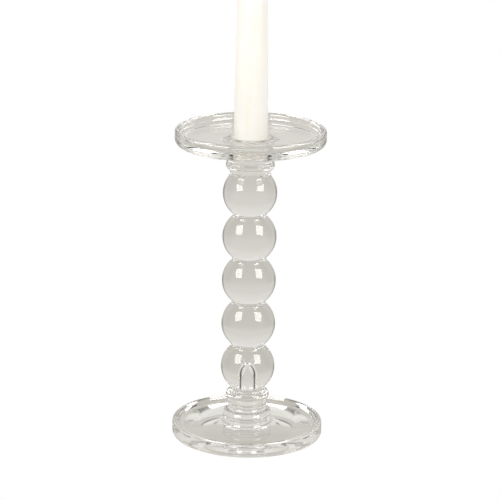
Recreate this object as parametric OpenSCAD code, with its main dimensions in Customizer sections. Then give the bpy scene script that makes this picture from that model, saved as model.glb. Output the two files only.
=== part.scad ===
// Glass candlestick: a dished foot, five fused balls, and a drip pan with a socket that holds a taper candle.
// Every sub-part is a solid of revolution about Z. The origin is the centre of the foot's underside.

/* [Foot] */
// Diameter of the foot
foot_d = 100; // [92:1:120]
// Height of the foot's rim
foot_h = 11; // [10.4:0.2:12]
// Width of the rounded rim round the foot's top
foot_rim_w = 4.6; // [4:0.2:5.4]
// Depth of the dished top below the rim
foot_dish = 3; // [2.6:0.1:3.4]
// Diameter of the swelling at the middle of the foot
boss_d = 32.8; // [31:0.2:34]
// Diameter of the shallow recess in the underside
recess_d = 66; // [40:1:80]

/* [Stem] */
// Diameter of each ball
ball_d = 35.7; // [34.8:0.1:37]
// Distance between the centres of neighbouring balls
ball_pitch = 29.8; // [28.8:0.1:31]
// Diameter of the waist where two balls are fused
waist_d = 22.4; // [21.6:0.2:23.6]
// Diameter of the bead on the foot collar
foot_bead_d = 29; // [28.4:0.2:31]
// Diameter of the bead on the pan collar
pan_bead_d = 32.2; // [31.4:0.2:33.4]
// Diameter of the air bubble in the lowest ball
bubble_d = 8.2; // [6:0.2:9.6]

/* [Drip pan] */
// Diameter of the drip pan
pan_d = 99; // [90:1:120]
// Height of the drip pan from its underside to its rim
pan_h = 10.5; // [9.8:0.1:11]
// Thickness of the drip pan's floor
pan_floor = 4.5; // [4:0.1:5]
// Width of the rounded rim round the pan
pan_rim_w = 4.2; // [3.6:0.2:5]

/* [Candle] */
// Diameter of the candle at its foot
candle_d = 22; // [20:0.2:22.2]
// Diameter of the candle at its shoulder
candle_top_d = 16; // [12:0.5:19]
// Length of the candle without its wick
candle_l = 200; // [120:5:300]
// Diameter of the socket's bore
socket_d = 22.6; // [22.4:0.1:23]
// Depth of the socket below its lip
socket_depth = 13.3; // [10:0.1:13.8]
// Length of wick that stands out of the candle
wick_out = 9; // [5:0.5:15]

/* [Hidden] */
$fn = 120;
CLEAR_GLASS = [0.85, 0.88, 0.86, 0.6];
WAX = [0.98, 0.96, 0.9];
COTTON = [0.93, 0.91, 0.86];
// Small lengths that keep the outlines from only just touching: each concave round is larger by a bite,
// and a corner that another shape hides is tucked into it
bite = 0.005;
tuck = 0.05;

// Foot: the rounds of its rim and corner, the cove inside the rim, and the boss in the middle
foot_corner = 3.2;
foot_cove = 3.8;
foot_floor = foot_h - foot_dish;
boss_round = 4;
boss_z = 14.6;
boss_cove = 3.8;
neck_r = 11.9;
recess_depth = 1.2;

// Heights of the planes where the pieces are fused, from the foot up
neck_z = 21.1;
stem_z = 32.9;
ball_r = ball_d / 2;
ball_half = ball_pitch / 2;
waist_r = waist_d / 2;
top_half = 14.2;
ball_count = 5;
collar_z = stem_z + (ball_count - 0.5) * ball_pitch + top_half;
collar_h = 9;
socket_z = collar_z + collar_h;

// Collars: each is a bead between two waists
foot_bead_round = 3.8;
foot_bead_up = 6.7;
pan_bead_round = 3.7;
pan_bead_up = 5;
collar_r = 13.3;

// Drip pan and socket: the heights are those of the pan's underside and floor
pan_z = socket_z + 9.3;
floor_z = pan_z + pan_floor;
pan_corner = 4;
pan_cove = 3.9;
hub_r = 22;
socket_r = 14.9;
socket_cove = 5;
lip_round = 1.9;
lip_up = 0.8;
lip_cove = 2;
bore_r = socket_d / 2;
mouth_z = floor_z + lip_up;
bottom_z = mouth_z - socket_depth;

// Air bubble: it stands on the collar below and its pointed nose ends a little above the middle of the ball
bubble_r = bubble_d / 2;
nose_up = 1.6;
nose_bulge = 1.6;
nose_r = bubble_r + nose_bulge;
nose_turn = acos(nose_bulge / nose_r);
nose_h = nose_r * sin(nose_turn);
nose_z = stem_z + ball_half + nose_up - nose_h;
nose_steps = 8;

// Candle: straight where the socket holds it, then tapered to a rounded shoulder
candle_r = candle_d / 2;
candle_top_r = candle_top_d / 2;
candle_straight = 36;
candle_chamfer = 0.8;
shoulder_h = 12;
shoulder_tip_r = 2.4;
wick_r = 1;
wick_gap = 0.05;
shoulder_bulge = (pow(shoulder_tip_r, 2) + pow(shoulder_h, 2) - pow(candle_top_r, 2))
                 / (2 * (candle_top_r - shoulder_tip_r));

// Rectangle between two opposite corners
module block(from, to) translate(from) square(to - from);

// What a concave round leaves of such a rectangle
module cove(from, to, centre, r) difference() {
    block(from, to);
    translate(centre) circle(r + bite);
}

// Horizontal distance between two tangent rounds, from the sum of their radii and their difference in height
function run(reach, rise) = sqrt(pow(reach, 2) - pow(rise, 2));

// Point where a convex round of radius m at a meets a concave one of radius g at b, tucked into the convex one
function meet(a, m, b, g) = a + (b - a) * (m - tuck) / (m + g);

// Radius of the concave round that is upright at a waist and tangent to a bulge. The waist's radius is w, at a
// height of h from the bulge, whose centre is c from the axis and whose radius is m.
function waist_round(w, h, c, m) = (pow(w - c, 2) + h * h - m * m) / (2 * (m - w + c));

// The stretch between a bulge and the waist above it, and a little more, which the caller cuts off
module waist(w, h, c, m) {
    g = waist_round(w, h, c, m);
    at = meet([c, 0], m, [w + g, h], g);
    cove([0, at.y], [at.x, h + tuck], [w + g, h], g);
}

// Outline of a ball or bead between a lower and an upper waist, each given as [distance, radius]
module knop_profile(c, m, down, up) intersection() {
    block([0, -down[0]], [c + m + 1, up[0]]);
    union() {
        translate([c, 0]) circle(m);
        if (c > 0) block([0, -down[0] - tuck], [c, up[0] + tuck]);
        waist(up[1], up[0], c, m);
        mirror([0, 1]) waist(down[1], down[0], c, m);
    }
}

// Outline of a dished plate with a rounded rim, from a radius of r_in to r_out and from z up
module dish_profile(r_in, r_out, z, h, floor, rim_w, corner, cove_r) {
    crest = rim_w / 2;
    crest_at = [r_out - crest, z + h - crest];
    rise = crest + cove_r - (h - floor);
    cove_at = crest_at + [-run(crest + cove_r, rise), rise];
    difference() {
        union() {
            block([r_in, z], [r_out, z + floor]);
            block([crest_at.x, z], [r_out, crest_at.y]);
            translate(crest_at) circle(crest);
            cove([cove_at.x, z + floor - tuck], [crest_at.x, meet(crest_at, crest, cove_at, cove_r).y],
                 cove_at, cove_r);
        }
        cove([r_out - corner, z - 1], [r_out + 1, z + corner], [r_out - corner, z + corner], corner);
    }
}

// The air bubble, as the shape that is cut from the lowest ball. Its pointed nose is an arc of nose_r.
module bubble() rotate_extrude() polygon(concat(
    [[0, stem_z - 1], [bubble_r, stem_z - 1]],
    [for (i = [0:nose_steps - 1]) let (a = nose_turn * i / nose_steps)
        [nose_r * cos(a) - nose_bulge, nose_z + nose_r * sin(a)]],
    [[0, nose_z + nose_h]]));

module foot_plate() color(CLEAR_GLASS) difference() {
    boss_at = [boss_d / 2 - boss_round, boss_z];
    rise = foot_floor + boss_cove - boss_z;
    cove_at = boss_at + [run(boss_round + boss_cove, rise), rise];
    rotate_extrude() intersection() {
        block([0, -1], [foot_d, neck_z]);
        union() {
            dish_profile(0, foot_d / 2, 0, foot_h, foot_floor, foot_rim_w, foot_corner, foot_cove);
            block([0, tuck], [boss_at.x, neck_z + tuck]);
            translate(boss_at) circle(boss_round);
            translate([0, boss_z]) waist(neck_r, neck_z - boss_z, boss_at.x, boss_round);
            cove([0, foot_floor - tuck], [cove_at.x, meet(boss_at, boss_round, cove_at, boss_cove).y],
                 cove_at, boss_cove);
        }
    }
    translate([0, 0, -1])
        cylinder(r1 = recess_d / 2 + 1, r2 = recess_d / 2 - recess_depth, h = recess_depth + 1);
}

module foot_collar() color(CLEAR_GLASS) translate([0, 0, neck_z + foot_bead_up]) rotate_extrude()
    knop_profile(foot_bead_d / 2 - foot_bead_round, foot_bead_round,
                 [foot_bead_up, neck_r], [stem_z - neck_z - foot_bead_up, waist_r]);

// The lowest ball holds the air bubble, and the highest has a wide waist to carry the pan's collar
module ball(i) color(CLEAR_GLASS) difference() {
    translate([0, 0, stem_z + (i - 0.5) * ball_pitch]) rotate_extrude()
        knop_profile(0, ball_r, [ball_half, waist_r],
                     i == ball_count ? [top_half, collar_r] : [ball_half, waist_r]);
    if (i == 1) bubble();
}

module pan_collar() color(CLEAR_GLASS) translate([0, 0, collar_z + pan_bead_up]) rotate_extrude()
    knop_profile(pan_bead_d / 2 - pan_bead_round, pan_bead_round,
                 [pan_bead_up, collar_r], [collar_h - pan_bead_up, socket_r]);

// The hub's blocks are cut back to the middle of the lip, and the lip's round is put on them
module candle_socket() color(CLEAR_GLASS) rotate_extrude() difference() {
    lip_at = [bore_r + lip_round, mouth_z - lip_round];
    rise = floor_z + lip_cove - lip_at.y;
    cove_at = lip_at + [run(lip_round + lip_cove, rise), rise];
    union() {
        difference() {
            union() {
                block([0, socket_z], [socket_r, floor_z]);
                block([0, pan_z], [hub_r, floor_z]);
                cove([socket_r - tuck, pan_z - socket_cove], [socket_r + socket_cove, pan_z + tuck],
                     [socket_r + socket_cove, pan_z - socket_cove], socket_cove);
            }
            block([-1, lip_at.y], [lip_at.x, mouth_z + 1]);
        }
        translate(lip_at) circle(lip_round + bite);
        cove([lip_at.x, floor_z - tuck], [cove_at.x, meet(lip_at, lip_round, cove_at, lip_cove).y],
             cove_at, lip_cove);
    }
    block([-1, bottom_z], [bore_r, mouth_z + 1]);
}

module drip_pan() color(CLEAR_GLASS) rotate_extrude()
    dish_profile(hub_r, pan_d / 2, pan_z, pan_h, pan_floor, pan_rim_w, pan_corner, pan_cove);

module candle() color(WAX) translate([0, 0, bottom_z]) difference() {
    rotate_extrude() {
        polygon([[0, 0], [candle_r - candle_chamfer, 0], [candle_r, candle_chamfer],
                 [candle_r, candle_straight], [candle_top_r, candle_l - shoulder_h],
                 [0, candle_l - shoulder_h]]);
        intersection() {
            translate([-shoulder_bulge, candle_l - shoulder_h]) circle(candle_top_r + shoulder_bulge + bite);
            block([0, candle_l - 2 * shoulder_h], [candle_r, candle_l]);
        }
    }
    translate([0, 0, -1]) cylinder(r = wick_r + wick_gap, h = candle_l + 2);
}

module wick() color(COTTON) translate([0, 0, bottom_z]) cylinder(r = wick_r, h = candle_l + wick_out);

foot_plate();
foot_collar();
ball(1);  // ball_1
ball(2);  // ball_2
ball(3);  // ball_3
ball(4);  // ball_4
ball(5);  // ball_5
pan_collar();
candle_socket();
drip_pan();
candle();
wick();
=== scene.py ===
import math

import bmesh
import bpy
from mathutils import Matrix, Vector, noise


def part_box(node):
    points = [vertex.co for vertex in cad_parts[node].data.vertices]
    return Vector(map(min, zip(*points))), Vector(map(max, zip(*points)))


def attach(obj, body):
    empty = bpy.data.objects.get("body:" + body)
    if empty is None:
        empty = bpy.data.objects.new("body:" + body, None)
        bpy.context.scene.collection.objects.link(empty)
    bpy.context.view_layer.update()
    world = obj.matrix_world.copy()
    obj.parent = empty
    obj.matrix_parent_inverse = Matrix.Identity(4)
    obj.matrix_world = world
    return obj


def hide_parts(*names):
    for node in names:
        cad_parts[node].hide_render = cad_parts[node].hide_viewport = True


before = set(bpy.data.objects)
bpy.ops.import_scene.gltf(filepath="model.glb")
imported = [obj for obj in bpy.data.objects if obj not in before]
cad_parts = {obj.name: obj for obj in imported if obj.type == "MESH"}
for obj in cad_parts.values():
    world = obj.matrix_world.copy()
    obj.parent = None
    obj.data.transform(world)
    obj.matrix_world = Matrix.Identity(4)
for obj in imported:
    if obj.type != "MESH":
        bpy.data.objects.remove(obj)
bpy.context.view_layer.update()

bl_info = {
    "name": "Glass candlestick",
    "version": (1, 0, 0),
    "blender": (4, 5, 0),
    "location": "View3D > Sidebar > Candlestick",
    "description": "Builds a glass candlestick of fused balls with a taper candle, on a pale studio floor",
    "category": "Object",
}

HOLDER = "holder"
CANDLE = "candle_body"
MM = 0.001


# ---------------------------------------------------------------- the frame's own measures


CORNERS = {name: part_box(name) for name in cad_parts}


def low(node):
    """Height of a CAD node's lowest point."""
    return CORNERS[node][0].z


def high(node):
    """Height of a CAD node's highest point."""
    return CORNERS[node][1].z


def reach(node):
    """Greatest distance of a CAD node from the Z axis."""
    return CORNERS[node][1].x


BALLS = sorted(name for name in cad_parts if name.startswith("ball_"))
FUSED_LEVELS = [low(name) for name in BALLS] + [
    low("foot_collar"), low("pan_collar"), low("candle_socket"),
]


# ---------------------------------------------------------------- sizes and colours


def length(name, description, default):
    """A size in metres that a user can change."""
    return bpy.props.FloatProperty(
        name=name, description=description, default=default, min=0.0, precision=4, unit="LENGTH")


def colour(name, description, default):
    """A colour that a user can change."""
    return bpy.props.FloatVectorProperty(
        name=name, description=description, default=default, size=3, min=0.0, max=1.0, subtype="COLOR")


class CandlestickFoot(bpy.types.PropertyGroup):
    rim_height: length("Rim height", "Height of the foot's rim", 11.0 * MM)
    rim_width: length("Rim width", "Width of the rounded rim", 4.6 * MM)
    dish_floor: length("Dish floor", "Height of the dished top", 8.0 * MM)
    corner: length("Corner", "Round of the lower edge", 3.2 * MM)
    cove: length("Cove", "Hollow round inside the rim", 3.8 * MM)
    boss_radius: length("Swelling", "Radius of the swelling in the middle", 16.4 * MM)
    boss_round: length("Swelling round", "Round of the swelling", 4.0 * MM)
    boss_height: length("Swelling height", "Height of the swelling's widest point", 14.6 * MM)
    boss_cove: length("Swelling cove", "Hollow round below the swelling", 3.8 * MM)
    neck: length("Neck", "Radius of the neck above the swelling", 11.9 * MM)
    recess: length("Recess", "Radius of the shallow recess underneath", 33.0 * MM)
    recess_depth: length("Recess depth", "Depth of the recess underneath", 1.2 * MM)
    bead_round: length("Bead round", "Round of the bead on the foot collar", 3.8 * MM)
    bead_up: length("Bead height", "Height of the bead above the neck", 6.7 * MM)


class CandlestickStem(bpy.types.PropertyGroup):
    waist: length("Waist", "Radius of the waist between two balls", 11.2 * MM)
    top_waist: length("Top waist", "Radius of the waist above the highest ball", 13.3 * MM)
    bubble: length("Air bubble", "Radius of the air bubble in the lowest ball", 4.1 * MM)
    nose_up: length("Nose height", "Height of the bubble's nose above the ball's middle", 1.6 * MM)
    nose_bulge: length("Nose bulge", "How far the bubble's pointed nose bulges", 1.6 * MM)
    bead_round: length("Bead round", "Round of the bead on the pan collar", 3.7 * MM)
    bead_up: length("Bead height", "Height of the bead above the highest ball", 5.0 * MM)


class CandlestickPan(bpy.types.PropertyGroup):
    rim_width: length("Rim width", "Width of the rounded rim", 4.2 * MM)
    floor: length("Floor", "Thickness of the pan's floor", 4.5 * MM)
    corner: length("Corner", "Round of the lower edge", 4.0 * MM)
    cove: length("Cove", "Hollow round inside the rim", 3.9 * MM)
    neck: length("Neck", "Radius of the neck under the pan", 14.9 * MM)
    neck_cove: length("Neck cove", "Hollow round where the neck meets the pan", 5.0 * MM)
    bore: length("Bore", "Radius of the socket that holds the candle", 11.3 * MM)
    lip_round: length("Lip round", "Round of the lip of the socket", 1.9 * MM)
    lip_cove: length("Lip cove", "Hollow round outside the lip", 2.0 * MM)


class CandlestickCandle(bpy.types.PropertyGroup):
    shoulder: length("Shoulder", "Radius of the candle at its shoulder", 8.0 * MM)
    shoulder_height: length("Shoulder height", "Height of the rounded shoulder", 12.0 * MM)
    tip: length("Tip", "Radius of the candle's tip", 2.4 * MM)
    straight: length("Straight foot", "Length of the candle that doesn't taper", 36.0 * MM)
    strand: length("Strand", "Radius of one strand of the wick", 0.46 * MM)
    doublings: bpy.props.IntProperty(
        name="Doublings", description="The wick's twist is doubled this many times", default=5, min=3, max=7)
    wax: colour("Wax", "Colour of the wax", (0.93, 0.92, 0.895))
    cotton: colour("Cotton", "Colour of the wick", (0.80, 0.74, 0.62))


class CandlestickGlass(bpy.types.PropertyGroup):
    sides: bpy.props.IntProperty(
        name="Sides", description="Number of steps round each piece", default=192, min=24, max=256)
    ripple: length("Ripple", "How uneven the fire-polished surface is", 0.10 * MM)
    tint: colour("Tint", "Colour of thick glass", (0.982, 0.98, 0.974))


class CandlestickStage(bpy.types.PropertyGroup):
    floor_radius: length("Floor radius", "Radius of the pale floor", 1.2)
    sweep: length("Sweep", "Distance from the candlestick to the foot of the backdrop", 0.575)
    camera_distance: length(
        "Camera distance", "Distance from the camera to the stem, along the floor", 1.6765)
    camera_height: length("Camera height", "Height of the camera above the floor", 0.6152)
    camera_tilt: bpy.props.FloatProperty(
        name="Tilt", description="How far the camera looks down",
        default=math.radians(16.21), subtype="ANGLE")
    camera_roll: bpy.props.FloatProperty(
        name="Roll", description="How far the camera leans",
        default=math.radians(0.8), subtype="ANGLE")
    lens: bpy.props.FloatProperty(
        name="Lens", description="Focal length of the camera", default=191.0, unit="CAMERA")


# ---------------------------------------------------------------- outlines, as (radius, height)

ARC_STEP = math.radians(3.5)


def arc(centre, radius, start, end):
    """Points of an arc, from the angle start to the angle end. Zero points away from the axis."""
    steps = max(2, math.ceil(abs(end - start) / ARC_STEP))
    angles = [start + (end - start) * i / steps for i in range(steps + 1)]
    return [(centre[0] + radius * math.cos(a), centre[1] + radius * math.sin(a)) for a in angles]


def run(reach_between, rise):
    """Horizontal distance between two tangent rounds whose centres are rise apart in height."""
    return math.sqrt(reach_between ** 2 - rise ** 2)


def waist_round(waist, height, centre, bulge):
    """Radius of the hollow round that is upright at a waist and tangent to a bulge."""
    return ((waist - centre) ** 2 + height ** 2 - bulge ** 2) / (2 * (bulge - waist + centre))


def waist_arc(waist, height, centre, bulge, z):
    """Outline from a bulge at height z up to the waist above, and the angle where it leaves the bulge."""
    hollow = waist_round(waist, height, centre, bulge)
    leave = math.atan2(height, waist + hollow - centre)
    return arc((waist + hollow, z + height), hollow, leave + math.pi, math.pi), leave


def mirrored(points, z):
    """An outline turned upside down about the height z, in the opposite order."""
    return [(r, 2 * z - h) for r, h in reversed(points)]


def knop(centre, bulge, z, below, above):
    """Outline of a ball or bead from the waist below it to the waist above, each (height, radius)."""
    lower, lower_leave = waist_arc(below[1], below[0], centre, bulge, z)
    upper, upper_leave = waist_arc(above[1], above[0], centre, bulge, z)
    return mirrored(lower, z) + arc((centre, z), bulge, -lower_leave, upper_leave) + upper


def dished_plate(outer, z, rim_height, floor, rim_width, corner, cove):
    """Outline of a dished plate from under its edge, over its rim, to the edge of its flat floor."""
    crest = rim_width / 2
    crest_at = Vector((outer - crest, z + rim_height - crest))
    rise = crest + cove - (rim_height - floor)
    inward = run(crest + cove, rise)
    cove_at = crest_at + Vector((-inward, rise))
    turn = math.atan2(rise, -inward)
    return (
        arc((outer - corner, z + corner), corner, -math.pi / 2, 0)
        + arc(crest_at, crest, 0, turn)
        + arc(cove_at, cove, turn - math.pi, -math.pi / 2)
    )


def bubble_nose(stem):
    """Outline of the air bubble's pointed nose, from its tip down to where it is straight."""
    bend = stem.bubble + stem.nose_bulge
    turn = math.acos(stem.nose_bulge / bend)
    tip = (low(BALLS[0]) + high(BALLS[0])) / 2 + stem.nose_up
    return arc((-stem.nose_bulge, tip - bend * math.sin(turn)), bend, turn, 0)


def foot_outline(foot):
    """Outline of the foot, from the axis underneath to the axis at its top."""
    top = high("foot_plate")
    boss_at = Vector((foot.boss_radius - foot.boss_round, foot.boss_height))
    rise = foot.dish_floor + foot.boss_cove - foot.boss_height
    outward = run(foot.boss_round + foot.boss_cove, rise)
    cove_at = boss_at + Vector((outward, rise))
    neck, leave = waist_arc(foot.neck, top - foot.boss_height, boss_at.x, foot.boss_round, foot.boss_height)
    underside = [
        (0.0, foot.recess_depth),
        (foot.recess - foot.recess_depth, foot.recess_depth),
        (foot.recess, 0.0),
    ]
    turn = math.atan2(rise, outward)
    return (
        underside
        + dished_plate(reach("foot_plate"), 0.0, foot.rim_height, foot.dish_floor,
                       foot.rim_width, foot.corner, foot.cove)
        + arc(cove_at, foot.boss_cove, -math.pi / 2, turn - math.pi)
        + arc(boss_at, foot.boss_round, turn, leave)
        + neck
        + [(0.0, top)]
    )


def foot_collar_outline(foot, stem):
    """Outline of the beaded collar on the foot. The air bubble stands on the middle of its top."""
    base, top = low("foot_collar"), high("foot_collar")
    bead = knop(reach("foot_collar") - foot.bead_round, foot.bead_round, base + foot.bead_up,
                (foot.bead_up, foot.neck), (top - base - foot.bead_up, stem.waist))
    return [(0.0, base)] + bead + [(stem.bubble, top), (0.0, top)]


def ball_outline(name, stem):
    """Outline of a ball, from the axis at its foot to the axis at its top."""
    base, top = low(name), high(name)
    middle = base + (high(BALLS[0]) - low(BALLS[0])) / 2
    upper = stem.top_waist if name == BALLS[-1] else stem.waist
    ball = knop(0.0, reach(BALLS[0]), middle, (middle - base, stem.waist), (top - middle, upper))
    bottom = bubble_nose(stem) + [(stem.bubble, base)] if name == BALLS[0] else [(0.0, base)]
    return bottom + ball + [(0.0, top)]


def pan_collar_outline(stem, pan):
    """Outline of the beaded collar under the pan."""
    base, top = low("pan_collar"), high("pan_collar")
    bead = knop(reach("pan_collar") - stem.bead_round, stem.bead_round, base + stem.bead_up,
                (stem.bead_up, stem.top_waist), (top - base - stem.bead_up, pan.neck))
    return [(0.0, base)] + bead + [(0.0, top)]


def socket_outline(pan):
    """Outline of the pan's hub, with the socket that the candle stands in."""
    hub, under = reach("candle_socket"), low("drip_pan")
    floor = under + pan.floor
    lip_at = Vector((pan.bore + pan.lip_round, high("candle_socket") - pan.lip_round))
    rise = floor + pan.lip_cove - lip_at.y
    outward = run(pan.lip_round + pan.lip_cove, rise)
    turn = math.atan2(rise, outward)
    neck_cove_at = (pan.neck + pan.neck_cove, under - pan.neck_cove)
    return (
        [(0.0, low("candle_socket")), (pan.neck, low("candle_socket"))]
        + arc(neck_cove_at, pan.neck_cove, math.pi, math.pi / 2)
        + [(hub, under), (hub, floor)]
        + arc(lip_at + Vector((outward, rise)), pan.lip_cove, -math.pi / 2, turn - math.pi)
        + arc(lip_at, pan.lip_round, turn, math.pi)
        + [(pan.bore, low("candle")), (0.0, low("candle"))]
    )


def pan_outline(pan):
    """Closed outline of the drip pan, round its hub."""
    hub, under = reach("candle_socket"), low("drip_pan")
    rim_height = high("drip_pan") - under
    plate = dished_plate(reach("drip_pan"), under, rim_height, pan.floor,
                         pan.rim_width, pan.corner, pan.cove)
    return [(hub, under)] + plate + [(hub, under + pan.floor)]


# Kept free on either side of the CAD wick's surface: outside it in the wax, and inside it round the strands.
WICK_GAP = 0.03 * MM


def candle_outline(candle):
    """Closed outline of the candle round its wick."""
    air = 0.08 * MM
    edge = 0.8 * MM
    sink = 0.2 * MM
    bore = reach("wick") + WICK_GAP
    base, top, foot_radius = low("candle") + air, high("candle"), reach("candle")
    shoulder_at = top - candle.shoulder_height
    bulge = (candle.tip ** 2 + candle.shoulder_height ** 2 - candle.shoulder ** 2) / (
        2 * (candle.shoulder - candle.tip))
    bend = candle.shoulder + bulge
    tip_turn = math.asin((candle.shoulder_height - edge) / bend)
    return (
        [(bore, base)]
        + arc((foot_radius - edge, base + edge), edge, -math.pi / 2, 0)
        + [(foot_radius, base + candle.straight)]
        + arc((-bulge, shoulder_at), bend, 0, tip_turn)
        + [(candle.tip - edge, top), (bore + edge, top - sink), (bore, top - edge)]
    )


# ---------------------------------------------------------------- turning outlines into pieces


# Points nearer than this are one point.
MERGE = 0.0005 * MM


def is_fused(face):
    """True if a face is where two pieces of glass are fused: in a level joint, or on the hub's edge."""
    hub = reach("candle_socket")
    bubble = bpy.context.scene.candlestick_stem.bubble
    tiny = 0.002 * MM
    # The floor of the air bubble lies in a joint's plane, but it is glass against air.
    if all(abs(v.co.z - low(BALLS[0])) < tiny and v.co.xy.length < bubble + tiny for v in face.verts):
        return False
    if all(abs(v.co.xy.length - hub) < tiny for v in face.verts):
        return True
    return any(all(abs(v.co.z - z) < tiny for v in face.verts) for z in FUSED_LEVELS)


def turned(outline, sides, closed):
    """A bmesh of an outline spun round the Z axis."""
    bm = bmesh.new()
    verts = [bm.verts.new((r, 0.0, z)) for r, z in outline]
    ends = verts[1:] + verts[:1] if closed else verts[1:]
    for pair in zip(verts, ends):
        bm.edges.new(pair)
    bmesh.ops.remove_doubles(bm, verts=bm.verts[:], dist=MERGE)
    bmesh.ops.spin(bm, geom=bm.verts[:] + bm.edges[:], cent=(0, 0, 0), axis=(0, 0, 1),
                   angle=2 * math.pi, steps=sides, use_merge=True)
    bmesh.ops.remove_doubles(bm, verts=bm.verts[:], dist=MERGE)
    bmesh.ops.recalc_face_normals(bm, faces=bm.faces[:])
    return bm


def add_piece(name, bm, node, body, materials):
    """Makes the finished object of a bmesh, which stands for a CAD node and rides on its body."""
    mesh = bpy.data.meshes.new(name)
    bm.to_mesh(mesh)
    bm.free()
    for material in materials:
        mesh.materials.append(material)
    piece = bpy.data.objects.new(name, mesh)
    bpy.context.scene.collection.objects.link(piece)
    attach(piece, body)
    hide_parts(node)
    return piece


def ripple(bm, amount, wavelength, levels):
    """Makes a fire-polished surface a little uneven, always inwards. Fused faces stay as they are."""
    fade = 3.0 * MM
    bm.normal_update()
    moves = []
    for v in bm.verts:
        clear = min([abs(v.co.z - z) for z in levels] + [v.co.z + fade / 2])
        share = min(1.0, max(0.0, clear / fade))
        wave = (noise.noise(v.co / wavelength) - 1) / 2
        moves.append(v.normal * (amount * share * wave))
    for v, move in zip(bm.verts, moves):
        v.co += move


def glass_piece(name, outline, node, closed=False, wavelength=9.0 * MM, unevenness=1.0):
    """A piece of clear glass whose fused faces let light straight through."""
    glass = bpy.context.scene.candlestick_glass
    bm = turned(outline, glass.sides, closed)
    fused = [face for face in bm.faces if is_fused(face)]
    for face in bm.faces:
        face.smooth = True
    for face in fused:
        face.material_index = 1
        for edge in face.edges:
            edge.smooth = False
    still = {v for face in fused for v in face.verts}
    levels = {round(v.co.z, 6) for v in still}
    ripple(bm, glass.ripple * unevenness, wavelength, levels)
    return add_piece(name, bm, node, HOLDER, [clear_glass(), fused_joint()])


# ---------------------------------------------------------------- node helpers and shared effects


def node_of(tree, kind, **values):
    """A node with some of its attributes or input sockets set."""
    made = tree.nodes.new(kind)
    for key, value in values.items():
        if key in made.inputs:
            made.inputs[key].default_value = value
        else:
            setattr(made, key, value)
    return made


def wire(tree, *links):
    """Links pairs of sockets."""
    for out_socket, in_socket in links:
        tree.links.new(out_socket, in_socket)


def new_group(name, inputs, outputs):
    """An empty node group with named inputs (name, socket type, default) and outputs (name, socket type)."""
    tree = bpy.data.node_groups.new(name, "ShaderNodeTree")
    for label, kind, default in inputs:
        socket = tree.interface.new_socket(name=label, in_out="INPUT", socket_type=kind)
        if default is not None:
            socket.default_value = default
    for label, kind in outputs:
        tree.interface.new_socket(name=label, in_out="OUTPUT", socket_type=kind)
    return tree, tree.nodes.new("NodeGroupInput"), tree.nodes.new("NodeGroupOutput")


def polish_group():
    """Fire-polished surface: a slow ripple with a fine orange peel on it, and faint smears."""
    name = "fire_polish"
    if name in bpy.data.node_groups:
        return bpy.data.node_groups[name]
    tree, given, out = new_group(
        name,
        [("Vector", "NodeSocketVector", None), ("Ripple Size", "NodeSocketFloat", 90.0),
         ("Depth", "NodeSocketFloat", 0.0002), ("Smear", "NodeSocketFloat", 0.01)],
        [("Normal", "NodeSocketVector"), ("Roughness", "NodeSocketFloat")])
    slow = node_of(tree, "ShaderNodeTexNoise", Detail=1.0, Roughness=0.4)
    fine = node_of(tree, "ShaderNodeTexNoise", Scale=620.0, Detail=2.0)
    fine_share = 0.03
    sum_up = node_of(tree, "ShaderNodeMath", operation="MULTIPLY_ADD")
    sum_up.inputs[1].default_value = fine_share
    bump = node_of(tree, "ShaderNodeBump", Strength=1.0)
    smear = node_of(tree, "ShaderNodeTexNoise", Scale=38.0, Detail=4.0, Distortion=0.8)
    band = node_of(tree, "ShaderNodeMapRange")
    band.inputs["From Min"].default_value = 0.55
    band.inputs["From Max"].default_value = 0.8
    wire(
        tree,
        (given.outputs["Vector"], slow.inputs["Vector"]),
        (given.outputs["Ripple Size"], slow.inputs["Scale"]),
        (given.outputs["Vector"], fine.inputs["Vector"]),
        (fine.outputs[0], sum_up.inputs[0]),
        (slow.outputs[0], sum_up.inputs[2]),
        (sum_up.outputs[0], bump.inputs["Height"]),
        (given.outputs["Depth"], bump.inputs["Distance"]),
        (bump.outputs["Normal"], out.inputs["Normal"]),
        (given.outputs["Vector"], smear.inputs["Vector"]),
        (smear.outputs[0], band.inputs["Value"]),
        (given.outputs["Smear"], band.inputs["To Max"]),
        (band.outputs["Result"], out.inputs["Roughness"]),
    )
    return tree


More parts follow.
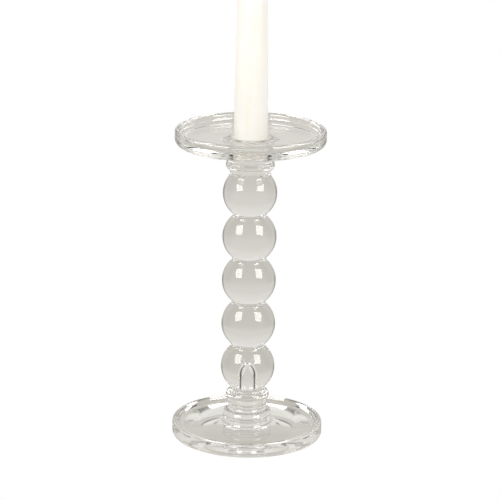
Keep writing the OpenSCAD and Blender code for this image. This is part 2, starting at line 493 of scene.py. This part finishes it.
def mottle_group():
    """Cloudy patches and long faint streaks, as in cast wax and in spun cotton."""
    name = "mottle"
    if name in bpy.data.node_groups:
        return bpy.data.node_groups[name]
    tree, given, out = new_group(
        name,
        [("Vector", "NodeSocketVector", None), ("Light", "NodeSocketColor", None),
         ("Dark", "NodeSocketColor", None), ("Patch Size", "NodeSocketFloat", 60.0),
         ("Streak Size", "NodeSocketFloat", 400.0), ("Depth", "NodeSocketFloat", 0.0001)],
        [("Color", "NodeSocketColor"), ("Roughness", "NodeSocketFloat"), ("Normal", "NodeSocketVector")])
    patch = node_of(tree, "ShaderNodeTexNoise", Detail=3.0, Roughness=0.55)
    long_way = node_of(tree, "ShaderNodeMapping")
    long_way.inputs["Scale"].default_value = (1.0, 1.0, 0.06)
    streak = node_of(tree, "ShaderNodeTexNoise", Detail=2.0)
    blend = node_of(tree, "ShaderNodeMath", operation="MULTIPLY")
    tone = node_of(tree, "ShaderNodeMapRange")
    tone.inputs["From Min"].default_value = 0.12
    tone.inputs["From Max"].default_value = 0.40
    mix = node_of(tree, "ShaderNodeMix", data_type="RGBA")
    gloss = node_of(tree, "ShaderNodeMapRange")
    gloss.inputs["To Min"].default_value = 0.36
    gloss.inputs["To Max"].default_value = 0.52
    bump = node_of(tree, "ShaderNodeBump", Strength=1.0)
    wire(
        tree,
        (given.outputs["Vector"], patch.inputs["Vector"]),
        (given.outputs["Patch Size"], patch.inputs["Scale"]),
        (given.outputs["Vector"], long_way.inputs["Vector"]),
        (long_way.outputs["Vector"], streak.inputs["Vector"]),
        (given.outputs["Streak Size"], streak.inputs["Scale"]),
        (patch.outputs[0], blend.inputs[0]),
        (streak.outputs[0], blend.inputs[1]),
        (blend.outputs[0], tone.inputs["Value"]),
        (tone.outputs["Result"], mix.inputs["Factor"]),
        (given.outputs["Dark"], mix.inputs["A"]),
        (given.outputs["Light"], mix.inputs["B"]),
        (mix.outputs["Result"], out.inputs["Color"]),
        (patch.outputs[0], gloss.inputs["Value"]),
        (gloss.outputs["Result"], out.inputs["Roughness"]),
        (blend.outputs[0], bump.inputs["Height"]),
        (given.outputs["Depth"], bump.inputs["Distance"]),
        (bump.outputs["Normal"], out.inputs["Normal"]),
    )
    return tree


def group_node(tree, group, **values):
    """A shared effect placed in a material, with its own values, on centred object coordinates."""
    made = tree.nodes.new("ShaderNodeGroup")
    made.node_tree = group
    for key, value in values.items():
        made.inputs[key.replace("_", " ")].default_value = value
    place = tree.nodes.new("ShaderNodeTexCoord")
    centre = node_of(tree, "ShaderNodeMapping")
    centre.inputs["Location"].default_value = (0.0, 0.0, -low(BALLS[0]))
    wire(tree, (place.outputs["Object"], centre.inputs["Vector"]),
         (centre.outputs["Vector"], made.inputs["Vector"]))
    return made


def blank_material(name):
    """A new material that holds only its output node."""
    material = bpy.data.materials.new(name)
    material.use_nodes = True
    material.node_tree.nodes.clear()
    return material, material.node_tree, material.node_tree.nodes.new("ShaderNodeOutputMaterial")


# ---------------------------------------------------------------- materials


# The frame brings placeholder materials named clear_glass, candle_wax and wick_cotton. A name of theirs
# would find the placeholder and not the material made here, so these are named otherwise.


def clear_glass():
    """Clear fire-polished glass with a faint tint."""
    name = "polished_glass"
    if name in bpy.data.materials:
        return bpy.data.materials[name]
    settings = bpy.context.scene.candlestick_glass
    material, tree, out = blank_material(name)
    polish = group_node(tree, polish_group(), Ripple_Size=70.0, Depth=0.00003, Smear=0.012)
    shader = node_of(tree, "ShaderNodeBsdfPrincipled", IOR=1.5)
    shader.inputs["Base Color"].default_value = (*settings.tint, 1.0)
    shader.inputs["Transmission Weight"].default_value = 1.0
    shader.inputs["Metallic"].default_value = 0.0
    wire(tree, (polish.outputs["Normal"], shader.inputs["Normal"]),
         (polish.outputs["Roughness"], shader.inputs["Roughness"]),
         (shader.outputs[0], out.inputs["Surface"]))
    return material


def fused_joint():
    """The face where two pieces of glass are fused. Nothing of it shows."""
    name = "fused_joint"
    if name in bpy.data.materials:
        return bpy.data.materials[name]
    material, tree, out = blank_material(name)
    shader = node_of(tree, "ShaderNodeBsdfTransparent")
    wire(tree, (shader.outputs[0], out.inputs["Surface"]))
    return material


def candle_wax():
    """Satin wax that light sinks into, with cloudy patches and faint streaks along it."""
    name = "satin_wax"
    if name in bpy.data.materials:
        return bpy.data.materials[name]
    wax = bpy.context.scene.candlestick_candle.wax
    material, tree, out = blank_material(name)
    mottle = group_node(tree, mottle_group(), Light=(*wax, 1.0),
                        Dark=(wax[0] * 0.97, wax[1] * 0.955, wax[2] * 0.90, 1.0),
                        Patch_Size=45.0, Streak_Size=260.0, Depth=0.00012)
    shader = node_of(tree, "ShaderNodeBsdfPrincipled", IOR=1.44)
    shader.inputs["Subsurface Weight"].default_value = 0.35
    shader.inputs["Subsurface Radius"].default_value = (1.0, 0.75, 0.45)
    shader.inputs["Subsurface Scale"].default_value = 0.003
    wire(tree, (mottle.outputs["Color"], shader.inputs["Base Color"]),
         (mottle.outputs["Roughness"], shader.inputs["Roughness"]),
         (mottle.outputs["Normal"], shader.inputs["Normal"]),
         (shader.outputs[0], out.inputs["Surface"]))
    return material


def wick_cotton():
    """Waxed cotton strands with fibres along them."""
    name = "twisted_cotton"
    if name in bpy.data.materials:
        return bpy.data.materials[name]
    cotton = bpy.context.scene.candlestick_candle.cotton
    material, tree, out = blank_material(name)
    mottle = group_node(tree, mottle_group(), Light=(*cotton, 1.0),
                        Dark=(cotton[0] * 0.6, cotton[1] * 0.55, cotton[2] * 0.45, 1.0),
                        Patch_Size=900.0, Streak_Size=9000.0, Depth=0.00008)
    shader = node_of(tree, "ShaderNodeBsdfPrincipled")
    shader.inputs["Sheen Weight"].default_value = 0.3
    wire(tree, (mottle.outputs["Color"], shader.inputs["Base Color"]),
         (mottle.outputs["Roughness"], shader.inputs["Roughness"]),
         (mottle.outputs["Normal"], shader.inputs["Normal"]),
         (shader.outputs[0], out.inputs["Surface"]))
    return material


# ---------------------------------------------------------------- the stage


# With the default of 12 bounces, light caught in the foot's rim ends as black patches.
LIGHT_BOUNCES = 32

WHITE = (1.0, 1.0, 1.0)
SOFT_WHITE = (1.0, 0.985, 0.965)
LAMP_WHITE = (1.0, 0.985, 0.955)

# The two windows stand in mirrored places, one on each side.
WINDOW_AZIMUTH = math.radians(54)
WINDOW_ELEVATION = math.radians(38)
WINDOW_ROLL = math.radians(-25)
WINDOW_DISTANCE = 1.6
WINDOW_WIDTH = 0.80
WINDOW_HEIGHT = 1.05
WINDOW_STRENGTH = 10.0
# Share of a window's strength that is seen through the glass, and not mirrored in it.
WINDOW_REFRACTED = 0.4

LAMP_SIZE = (0.8, 0.8)
LAMP_TARGET = (0.0, 0.0, 0.2)

# The floor lies this far below the foot, so that the two share no plane.
FLOOR_GAP = 0.1 * MM


def stage_object(name, bm, material):
    """An object of the stage, which isn't part of the candlestick."""
    mesh = bpy.data.meshes.new(name)
    bm.to_mesh(mesh)
    bm.free()
    mesh.materials.append(material)
    made = bpy.data.objects.new(name, mesh)
    bpy.context.scene.collection.objects.link(made)
    return made


def glow(tree, colour_value, strength=1.0):
    """An emission shader of one colour."""
    shader = node_of(tree, "ShaderNodeEmission", Strength=strength)
    shader.inputs["Color"].default_value = (*colour_value, 1.0)
    return shader


def choose(tree, factor, first, second):
    """Mixes two shader sockets by a factor socket, and returns the mixed socket."""
    mix = tree.nodes.new("ShaderNodeMixShader")
    wire(tree, (factor, mix.inputs["Fac"]), (first, mix.inputs[1]), (second, mix.inputs[2]))
    return mix.outputs[0]


def room_group():
    """A light backdrop that turns into a dark band at the sides and a mid-grey room in front."""
    name = "studio_room"
    if name in bpy.data.node_groups:
        return bpy.data.node_groups[name]
    tree, given, out = new_group(
        name,
        [("Bearing", "NodeSocketFloat", 1.0), ("Amount", "NodeSocketFloat", 1.0),
         ("Backdrop", "NodeSocketColor", None)],
        [("Color", "NodeSocketColor")])
    aside = node_of(tree, "ShaderNodeMapRange", interpolation_type="SMOOTHSTEP")
    aside.inputs["From Min"].default_value = 0.58
    aside.inputs["From Max"].default_value = 0.24
    before = node_of(tree, "ShaderNodeMapRange", interpolation_type="SMOOTHSTEP")
    before.inputs["From Min"].default_value = -0.05
    before.inputs["From Max"].default_value = -0.40
    room = node_of(tree, "ShaderNodeMix", data_type="RGBA")
    room.inputs["A"].default_value = (0.05, 0.05, 0.048, 1.0)
    room.inputs["B"].default_value = (0.42, 0.415, 0.395, 1.0)
    share = node_of(tree, "ShaderNodeMath", operation="MULTIPLY")
    mix = node_of(tree, "ShaderNodeMix", data_type="RGBA")
    wire(
        tree,
        (given.outputs["Bearing"], aside.inputs["Value"]),
        (given.outputs["Bearing"], before.inputs["Value"]),
        (before.outputs["Result"], room.inputs["Factor"]),
        (aside.outputs["Result"], share.inputs[0]),
        (given.outputs["Amount"], share.inputs[1]),
        (share.outputs[0], mix.inputs["Factor"]),
        (given.outputs["Backdrop"], mix.inputs["A"]),
        (room.outputs["Result"], mix.inputs["B"]),
        (mix.outputs["Result"], out.inputs["Color"]),
    )
    return tree


def room_node(tree):
    """The studio's shading by bearing, placed in a material or in the world."""
    made = tree.nodes.new("ShaderNodeGroup")
    made.node_tree = room_group()
    return made


def floor_material(sweep):
    """White to the eye. What the glass refracts is a warm grey table that ends at a lighter backdrop."""
    material, tree, out = blank_material("pale_floor")
    place = tree.nodes.new("ShaderNodeTexCoord")
    parts = tree.nodes.new("ShaderNodeSeparateXYZ")
    band = tree.nodes.new("ShaderNodeMapRange")
    lightest_at = sweep * 1.3
    band.inputs["From Max"].default_value = lightest_at
    tone = node_of(tree, "ShaderNodeMix", data_type="RGBA")
    tone.inputs["A"].default_value = (0.56, 0.545, 0.495, 1.0)
    tone.inputs["B"].default_value = (0.67, 0.655, 0.61, 1.0)
    bearing = node_of(tree, "ShaderNodeVectorMath", operation="NORMALIZE")
    ahead = tree.nodes.new("ShaderNodeSeparateXYZ")
    span = node_of(tree, "ShaderNodeVectorMath", operation="LENGTH")
    away = node_of(tree, "ShaderNodeMapRange", interpolation_type="SMOOTHSTEP")
    away.inputs["From Min"].default_value = 0.12
    away.inputs["From Max"].default_value = 0.60
    room = room_node(tree)
    grey = tree.nodes.new("ShaderNodeEmission")
    path = tree.nodes.new("ShaderNodeLightPath")
    wire(
        tree,
        (place.outputs["Object"], parts.inputs[0]),
        (parts.outputs["Y"], band.inputs["Value"]),
        (band.outputs["Result"], tone.inputs["Factor"]),
        (tone.outputs["Result"], room.inputs["Backdrop"]),
        (place.outputs["Object"], bearing.inputs[0]),
        (bearing.outputs["Vector"], ahead.inputs[0]),
        (ahead.outputs["Y"], room.inputs["Bearing"]),
        (place.outputs["Object"], span.inputs[0]),
        (span.outputs["Value"], away.inputs["Value"]),
        (away.outputs["Result"], room.inputs["Amount"]),
        (room.outputs["Color"], grey.inputs["Color"]),
    )
    white = glow(tree, WHITE)
    soft = glow(tree, SOFT_WHITE)
    lit = choose(tree, path.outputs["Diffuse Depth"], grey.outputs[0], soft.outputs[0])
    seen = choose(tree, path.outputs["Is Camera Ray"], lit, white.outputs[0])
    clear = tree.nodes.new("ShaderNodeBsdfTransparent")
    side = tree.nodes.new("ShaderNodeNewGeometry")
    wire(tree, (choose(tree, side.outputs["Backfacing"], seen, clear.outputs[0]), out.inputs["Surface"]))
    return material


def studio_world():
    """White to the eye. The glass refracts a light wall under a grey ceiling, and the studio's room."""
    world = bpy.data.worlds.new("studio")
    bpy.context.scene.world = world
    world.use_nodes = True
    tree = world.node_tree
    tree.nodes.clear()
    out = tree.nodes.new("ShaderNodeOutputWorld")
    way = tree.nodes.new("ShaderNodeTexCoord")
    parts = tree.nodes.new("ShaderNodeSeparateXYZ")
    wall = node_of(tree, "ShaderNodeValToRGB")
    stops = [(0.0, (0.68, 0.665, 0.62)), (0.30, (0.76, 0.745, 0.70)), (0.62, (0.84, 0.83, 0.79)),
             (0.86, (0.62, 0.61, 0.59)), (1.0, (0.45, 0.445, 0.43))]
    ramp = wall.color_ramp
    ramp.interpolation = "EASE"
    while len(ramp.elements) < len(stops):
        ramp.elements.new(0.5)
    for element, (position, value) in zip(ramp.elements, stops):
        element.position = position
        element.color = (*value, 1.0)
    room = room_node(tree)
    wire(
        tree,
        (way.outputs["Generated"], parts.inputs[0]),
        (parts.outputs["Z"], wall.inputs["Fac"]),
        (parts.outputs["Y"], room.inputs["Bearing"]),
        (wall.outputs["Color"], room.inputs["Backdrop"]),
    )
    path = tree.nodes.new("ShaderNodeLightPath")
    seen_in_glass = tree.nodes.new("ShaderNodeBackground")
    wire(tree, (room.outputs["Color"], seen_in_glass.inputs["Color"]))
    soft = node_of(tree, "ShaderNodeBackground", Strength=1.1)
    soft.inputs["Color"].default_value = (*SOFT_WHITE, 1.0)
    white = node_of(tree, "ShaderNodeBackground", Strength=1.0)
    white.inputs["Color"].default_value = (*WHITE, 1.0)
    lit = choose(tree, path.outputs["Diffuse Depth"], seen_in_glass.outputs[0], soft.outputs[0])
    wire(tree, (choose(tree, path.outputs["Is Camera Ray"], lit, white.outputs[0]), out.inputs["Surface"]))


def softbox(name, azimuth, elevation, roll):
    """A window-like softbox, which only reflections and refractions see."""
    material, tree, out = blank_material(name)
    path = tree.nodes.new("ShaderNodeLightPath")
    bright = glow(tree, LAMP_WHITE, WINDOW_STRENGTH)
    dimmed = glow(tree, LAMP_WHITE, WINDOW_STRENGTH * WINDOW_REFRACTED)
    shown = choose(tree, path.outputs["Is Transmission Ray"], bright.outputs[0], dimmed.outputs[0])
    wire(tree, (shown, out.inputs["Surface"]))
    bm = bmesh.new()
    bmesh.ops.create_grid(bm, x_segments=1, y_segments=1, size=0.5)
    back = Vector((math.sin(azimuth) * math.cos(elevation), -math.cos(azimuth) * math.cos(elevation),
                   math.sin(elevation)))
    turn = back.to_track_quat("Z", "Y").to_matrix().to_4x4() @ Matrix.Rotation(roll, 4, "Z")
    spread = Matrix.Diagonal((WINDOW_WIDTH, WINDOW_HEIGHT, 1.0, 1.0))
    place = Matrix.Translation(back * WINDOW_DISTANCE)
    bmesh.ops.transform(bm, verts=bm.verts[:], matrix=place @ turn @ spread)
    box = stage_object(name, bm, material)
    box.visible_camera = False
    box.visible_diffuse = False
    box.visible_shadow = False


def lamp(name, place, watts):
    """A soft area lamp that lights the wax and can't be seen in the glass."""
    light = bpy.data.lights.new(name, "AREA")
    light.shape = "RECTANGLE"
    light.size, light.size_y = LAMP_SIZE
    light.energy = watts
    light.color = LAMP_WHITE
    made = bpy.data.objects.new(name, light)
    made.location = place
    aim = Vector(LAMP_TARGET) - Vector(place)
    made.rotation_mode = "QUATERNION"
    made.rotation_quaternion = aim.to_track_quat("-Z", "Y")
    made.visible_glossy = False
    made.visible_transmission = False
    bpy.context.scene.collection.objects.link(made)


# ---------------------------------------------------------------- operators


class CandlestickOperator:
    """What every operator of the candlestick shares."""
    bl_options = {"REGISTER", "UNDO"}


class CANDLESTICK_OT_foot(CandlestickOperator, bpy.types.Operator):
    """Add the dished foot and its beaded collar"""
    bl_idname = "candlestick.add_foot"
    bl_label = "Add Foot"

    def execute(self, context):
        foot, stem = context.scene.candlestick_foot, context.scene.candlestick_stem
        glass_piece("dished_foot", foot_outline(foot), "foot_plate", wavelength=12 * MM)
        glass_piece("foot_bead", foot_collar_outline(foot, stem), "foot_collar")
        return {"FINISHED"}


class CANDLESTICK_OT_stem(CandlestickOperator, bpy.types.Operator):
    """Add the fused balls of the stem"""
    bl_idname = "candlestick.add_stem"
    bl_label = "Add Stem"

    def execute(self, context):
        stem = context.scene.candlestick_stem
        for name in BALLS:
            glass_piece("glass_" + name, ball_outline(name, stem), name,
                        wavelength=20 * MM, unevenness=0.3)
        return {"FINISHED"}


class CANDLESTICK_OT_pan(CandlestickOperator, bpy.types.Operator):
    """Add the drip pan with its collar and its socket"""
    bl_idname = "candlestick.add_pan"
    bl_label = "Add Drip Pan"

    def execute(self, context):
        stem, pan = context.scene.candlestick_stem, context.scene.candlestick_pan
        glass_piece("pan_bead", pan_collar_outline(stem, pan), "pan_collar")
        glass_piece("pan_hub", socket_outline(pan), "candle_socket")
        glass_piece("pan_dish", pan_outline(pan), "drip_pan", closed=True, wavelength=11 * MM)
        return {"FINISHED"}


class CANDLESTICK_OT_candle(CandlestickOperator, bpy.types.Operator):
    """Add the taper candle"""
    bl_idname = "candlestick.add_candle"
    bl_label = "Add Candle"

    def execute(self, context):
        candle = context.scene.candlestick_candle
        bm = turned(candle_outline(candle), sides=128, closed=True)
        for face in bm.faces:
            face.smooth = True
        add_piece("taper_candle", bm, "candle", CANDLE, [candle_wax()])
        return {"FINISHED"}


class CANDLESTICK_OT_wick(CandlestickOperator, bpy.types.Operator):
    """Add the wick of three twisted strands"""
    bl_idname = "candlestick.add_wick"
    bl_label = "Add Wick"

    def execute(self, context):
        candle = context.scene.candlestick_candle
        foot_gap, tip_gap = 0.25 * MM, 0.4 * MM
        base, top = low("wick") + foot_gap, high("wick") - tip_gap
        lay = (top - base) / 2 ** candle.doublings
        offset = reach("wick") - candle.strand - WICK_GAP
        lean = math.atan2(2 * math.pi * offset, lay)
        steps_a_turn, strands, strand_sides = 16, 3, 12
        bm = bmesh.new()
        for i in range(strands):
            ring = bmesh.ops.create_circle(bm, radius=candle.strand, segments=strand_sides)["verts"]
            edges = list({edge for v in ring for edge in v.link_edges})
            start = Matrix.Rotation(2 * math.pi * i / strands, 4, "Z")
            place = start @ Matrix.Translation((offset, 0.0, base)) @ Matrix.Rotation(-lean, 4, "X")
            bmesh.ops.transform(bm, verts=ring, matrix=place)
            bmesh.ops.spin(bm, geom=ring + edges, cent=(0, 0, 0), axis=(0, 0, 1),
                           dvec=(0, 0, lay / steps_a_turn), angle=2 * math.pi, steps=steps_a_turn)
        for i in range(candle.doublings):
            twin = bmesh.ops.duplicate(bm, geom=bm.verts[:] + bm.edges[:] + bm.faces[:])["geom"]
            raised = [item for item in twin if isinstance(item, bmesh.types.BMVert)]
            bmesh.ops.translate(bm, verts=raised, vec=(0.0, 0.0, lay * 2 ** i))
        bmesh.ops.remove_doubles(bm, verts=bm.verts[:], dist=0.002 * MM)
        bmesh.ops.holes_fill(bm, edges=[edge for edge in bm.edges if edge.is_boundary], sides=0)
        bmesh.ops.recalc_face_normals(bm, faces=bm.faces[:])
        for face in bm.faces:
            face.smooth = True
        add_piece("twisted_wick", bm, "wick", CANDLE, [wick_cotton()])
        return {"FINISHED"}


class CANDLESTICK_OT_stage(CandlestickOperator, bpy.types.Operator):
    """Add the pale floor, the studio light and the camera"""
    bl_idname = "candlestick.add_stage"
    bl_label = "Add Stage"

    def execute(self, context):
        scene, stage = context.scene, context.scene.candlestick_stage
        scene.view_settings.view_transform = "Standard"
        scene.cycles.max_bounces = LIGHT_BOUNCES
        scene.cycles.transmission_bounces = LIGHT_BOUNCES
        scene.cycles.glossy_bounces = LIGHT_BOUNCES
        scene.cycles.transparent_max_bounces = LIGHT_BOUNCES
        studio_world()
        bm = bmesh.new()
        bmesh.ops.create_circle(bm, cap_ends=True, segments=96, radius=stage.floor_radius)
        bmesh.ops.translate(bm, verts=bm.verts[:], vec=(0.0, 0.0, -FLOOR_GAP))
        stage_object("floor", bm, floor_material(stage.sweep))
        for name, side in (("window_left", -1), ("window_right", 1)):
            softbox(name, side * WINDOW_AZIMUTH, WINDOW_ELEVATION, side * WINDOW_ROLL)
        lamp("key", place=(-0.9, -1.1, 1.0), watts=5.0)
        lamp("fill", place=(1.1, -0.9, 0.8), watts=2.0)
        lens = bpy.data.cameras.new("camera")
        lens.lens = stage.lens
        camera = bpy.data.objects.new("camera", lens)
        scene.collection.objects.link(camera)
        aside = 0.5 * MM
        camera.location = (aside, -stage.camera_distance, stage.camera_height)
        aim = (Matrix.Rotation(math.pi / 2 - stage.camera_tilt, 4, "X")
               @ Matrix.Rotation(stage.camera_roll, 4, "Z"))
        camera.rotation_euler = aim.to_euler()
        scene.camera = camera
        return {"FINISHED"}


class CANDLESTICK_PT_sidebar(bpy.types.Panel):
    """Sizes, colours and buttons of the candlestick"""
    bl_idname = "CANDLESTICK_PT_sidebar"
    bl_label = "Glass Candlestick"
    bl_space_type = "VIEW_3D"
    bl_region_type = "UI"
    bl_category = "Candlestick"

    def draw(self, context):
        for key, _kind, operators in SECTIONS:
            box = self.layout.box()
            settings = getattr(context.scene, key)
            for item in settings.bl_rna.properties:
                if item.identifier not in {"rna_type", "name"}:
                    box.prop(settings, item.identifier)
            for operator in operators:
                box.operator(operator.bl_idname)


SECTIONS = [
    ("candlestick_foot", CandlestickFoot, [CANDLESTICK_OT_foot]),
    ("candlestick_stem", CandlestickStem, [CANDLESTICK_OT_stem]),
    ("candlestick_pan", CandlestickPan, [CANDLESTICK_OT_pan]),
    ("candlestick_candle", CandlestickCandle, [CANDLESTICK_OT_candle, CANDLESTICK_OT_wick]),
    ("candlestick_glass", CandlestickGlass, []),
    ("candlestick_stage", CandlestickStage, [CANDLESTICK_OT_stage]),
]


def register():
    for key, kind, operators in SECTIONS:
        bpy.utils.register_class(kind)
        setattr(bpy.types.Scene, key, bpy.props.PointerProperty(type=kind))
        for operator in operators:
            bpy.utils.register_class(operator)
    bpy.utils.register_class(CANDLESTICK_PT_sidebar)


def unregister():
    bpy.utils.unregister_class(CANDLESTICK_PT_sidebar)
    for key, kind, operators in reversed(SECTIONS):
        for operator in operators:
            bpy.utils.unregister_class(operator)
        delattr(bpy.types.Scene, key)
        bpy.utils.unregister_class(kind)


def main():
    register()
    for _key, _kind, operators in SECTIONS:
        for operator in operators:
            area, name = operator.bl_idname.split(".")
            getattr(getattr(bpy.ops, area), name)()


if __name__ == "__main__":
    main()
